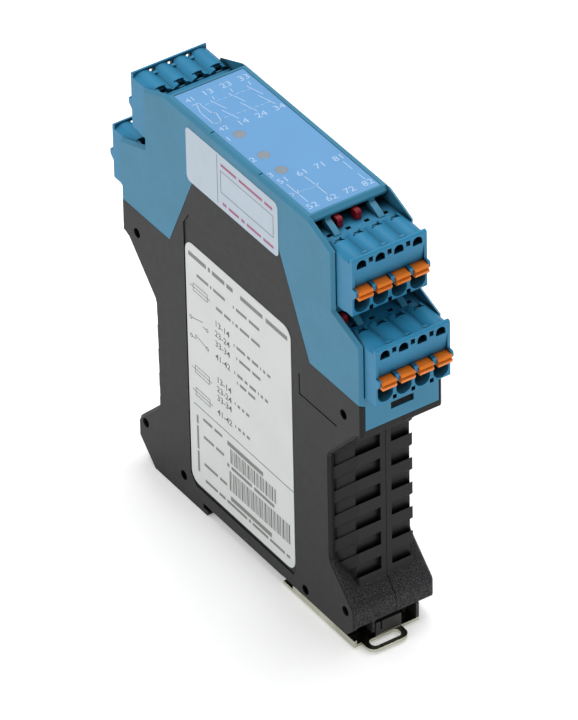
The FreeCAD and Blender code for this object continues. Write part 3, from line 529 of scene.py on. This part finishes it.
def symbol_switch(sheet, x, y, closed):
    """A normally open or normally closed contact between two open rings."""
    radius, corners = 0.45, 8
    turns = [2 * math.pi * i / corners for i in range(corners + 1)]
    for end in (x + 0.4, x + 7.2):
        ring = [(end + radius * math.cos(a), y + radius * math.sin(a)) for a in turns]
        sheet.path(ring, 0.18)
    if closed:
        sheet.path([(x + 0.9, y), (x + 2.3, y), (x + 2.3, y + 1.2)], 0.2)
        sheet.line(x + 2.2, y + 1.1, x + 6.8, y + 0.1, 0.2)
    else:
        sheet.line(x + 0.9, y + 0.1, x + 5.4, y + 1.3, 0.2)
        sheet.line(x + 5.4, y, x + 6.7, y, 0.2)


def label_print():
    """Print on the side label: general symbols and terminal numbers, and plain strokes for its type."""
    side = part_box("side_label")[0].x
    to_frame = facing((0, -1, 0), (0, 0, 1), (side - 0.015 * MM, 0, 0))
    rows = Sheet()
    rows.words(-21.2, 74.1, 1.25, (7.4, 0.9, 5.2, 2.6), 0.8)
    rows.words(0.4, 74.1, 1.25, (9.2, 8.8), 1.3)
    small = 0.85
    rows.words(-17.9, 69.6, small, (4.9, 0.6, 4.9), 0.7)
    rows.words(-2.8, 69.7, small, (0.4, 4.4, 4.3), 0.9)
    rows.words(-10.0, 65.0, small, (2.6, 2.7, 0.4, 1.0, 3.9, 3.6), 0.8)
    rows.words(-2.9, 58.6, small, (0.4, 3.6, 1.2, 2.6, 0.4, 0.9, 1.3), 0.8)
    rows.words(-1.9, 55.3, small, (0.4, 4.6, 3.4), 0.8)
    rows.words(-2.9, 50.6, small, (0.4, 2.3, 1.2, 2.7, 0.4, 0.9, 1.3), 0.8)
    rows.words(-1.9, 48.2, small, (0.4, 2.7, 2.9), 0.8)
    rows.words(-3.1, 41.4, small, (0.4, 1.1, 0.9, 1.3), 0.8)
    rows.words(-3.1, 34.7, small, (0.4, 1.1, 0.9, 1.3), 0.8)
    for y, lengths in ((28.0, (3.9, 3.3)), (22.8, (4.4, 3.3)), (14.6, (5.7, 3.0))):
        rows.words(-16.9, y, small, lengths, 0.9)
    rows.words(-16.6, 9.8, small, (5.2, 2.6, 8.4, 0.9, 6.6, 6.2, 1.5), 0.7)
    for y, length in ((11.4, 6.2), (18.2, 6.9), (25.7, 2.5)):
        rows.outline([(-19.7, y), (-18.9, y), (-18.9, y + length), (-19.7, y + length)])
    rows.words(-6.7, 27.4, 1.3, (15.0,))
    rows.words(-7.0, 20.9, 1.0, (0.9, 8.6, 8.4), 0.9)
    rows.words(-5.8, 11.3, 1.3, (17.2,))
    marks = Sheet()
    symbol_fuse(marks, -20.8, 65.8)
    symbol_switch(marks, -21.3, 56.2, False)
    symbol_switch(marks, -21.3, 50.8, True)
    symbol_fuse(marks, -20.9, 41.7)
    symbol_fuse(marks, -20.9, 35.1)
    upper, lower = (59.9, 56.9, 54.0, 50.2), (43.6, 40.8, 38.2, 34.0)
    for text, high_row, low_row in zip(("13-14", "23-24", "33-34", "41-42"), upper, lower):
        marks.number(text, -10.8, high_row, 2.45, bold=0.02)
        marks.number(text, -10.6, low_row, 2.45, bold=0.02)
    marks.line(-20.5, 31.1, 20.9, 31.0, 0.25)
    bars(marks, -5.5, 13.3, 22.6, 26.9)
    bars(marks, -6.1, 18.9, 14.2, 20.0)
    return [rows.piece("label_rows", to_frame, ink("label_type_ink", (128, 128, 124))),
            marks.piece("label_marks", to_frame, ink("label_ink", (88, 88, 84)))]


def bars(sheet, x0, x1, y0, y1):
    """A row of plain upright bars in a simple repeating rhythm. It codes nothing."""
    widths = (0.45, 0.2, 0.3, 0.2)
    gaps = (0.3, 0.45, 0.25)
    x, i = x0, 0
    while x < x1:
        width = widths[i % len(widths)]
        sheet.outline([(x, y0), (x + width, y0), (x + width, y1), (x, y1)])
        x += width + gaps[i % len(gaps)]
        i += 1


def sticker_print():
    """The seal sticker's plain rules and strokes, in grey and in dark pink."""
    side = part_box("seal_sticker")[0].x
    to_frame = facing((0, -1, 0), (0, 0, 1), (side - 0.01 * MM, 0, 0))
    grey = Sheet()
    grey.line(-7.6, 97.2, -7.6, 110.6, 0.2)
    grey.frame(-6.2, 100.9, 15.2, 106.9, 0.2)
    pink = Sheet()
    pink.words(-6.0, 108.3, 0.8, (6.4, 9.6, 3.2), 0.9)
    pink.words(-5.6, 97.6, 0.8, (1.6, 4.2, 1.4, 5.8, 4.2), 0.9)
    return [grey.piece("sticker_rules", to_frame, ink("sticker_grey", (96, 96, 108))),
            pink.piece("sticker_strokes", to_frame, ink("sticker_pink", (168, 92, 128)))]


film_print()
label_print()
sticker_print()


# ---- floor, light and camera -------------------------------------------------------------------

def make_floor():
    mesh = bpy.data.meshes.new("floor")
    half = 3.0
    below = CAD_BOX[0].z - 0.05 * MM
    corners = [(-half, -half, below), (half, -half, below), (half, half, below), (-half, half, below)]
    mesh.from_pydata(corners, [], [(0, 1, 2, 3)])
    floor = bpy.data.objects.new("floor", mesh)
    bpy.context.scene.collection.objects.link(floor)
    s = Shader("white_sweep", Specular_IOR_Level=0.2, Emission_Color=(1.0, 1.0, 1.0, 1.0),
               Emission_Strength=0.26)
    paper = s.blend(s.noise(0.2, detail=2), linear(250, 250, 250), linear(253, 253, 253))
    rough = s.steps(s.noise(0.01), 0.3, 0.7, 0.75, 0.85)
    mesh.materials.append(s.finish(paper, s.relief(s.noise(0.8 * MM), 0.01 * MM), rough))


def direction(azimuth, elevation):
    """From the object towards a point seen at that azimuth and elevation. Azimuth 0 is on the -Y side."""
    a, e = math.radians(azimuth), math.radians(elevation)
    return Vector((math.sin(a) * math.cos(e), -math.cos(a) * math.cos(e), math.sin(e)))


def softbox(name, azimuth, elevation, distance, width, height, power, colour=(1, 1, 1)):
    light = bpy.data.lights.new(name, "AREA")
    light.shape = "RECTANGLE"
    light.size, light.size_y = width, height
    light.energy = power
    light.color = colour
    lamp = bpy.data.objects.new(name, light)
    back = direction(azimuth, elevation)
    lamp.location = Vector((0, 0, 0.06)) + back * distance
    lamp.rotation_euler = back.to_track_quat("Z", "Y").to_euler()
    bpy.context.scene.collection.objects.link(lamp)


def make_camera():
    """A long lens from the catch end, above and to the side of the label."""
    azimuth, elevation, roll = -33.36, 37.40, -1.22
    aim = Vector((0, 0, 55 * MM))
    back = direction(azimuth, elevation)
    right = Vector((0, 0, 1)).cross(back).normalized()
    up = back.cross(right)
    turn = math.radians(roll)
    right, up = right * math.cos(turn) + up * math.sin(turn), up * math.cos(turn) - right * math.sin(turn)
    data = bpy.data.cameras.new("camera")
    data.lens = 389.0
    data.sensor_width = 36.0
    data.clip_start, data.clip_end = 0.05, 20.0
    camera = bpy.data.objects.new("camera", data)
    camera.location = aim + right * 1.86 * MM - up * 2.78 * MM + back * 1.8035
    camera.rotation_euler = Matrix((right, up, back)).transposed().to_euler()
    bpy.context.scene.collection.objects.link(camera)
    bpy.context.scene.camera = camera


def make_light():
    world = bpy.data.worlds.new("studio")
    world.use_nodes = True
    background = world.node_tree.nodes["Background"]
    background.inputs["Color"].default_value = (1.0, 1.0, 1.0, 1.0)
    background.inputs["Strength"].default_value = 0.3
    bpy.context.scene.world = world
    softbox("key", 125, 71, 1.3, 1.1, 1.1, 14)
    softbox("front_fill", 5, 22, 1.4, 1.0, 0.8, 4)
    softbox("left_back", -140, 22, 1.4, 1.2, 0.8, 3.5)
    softbox("left_fill", -85, 35, 1.5, 0.9, 0.9, 3.6)
    bpy.context.scene.view_settings.view_transform = "Standard"


make_floor()
make_light()
make_camera()
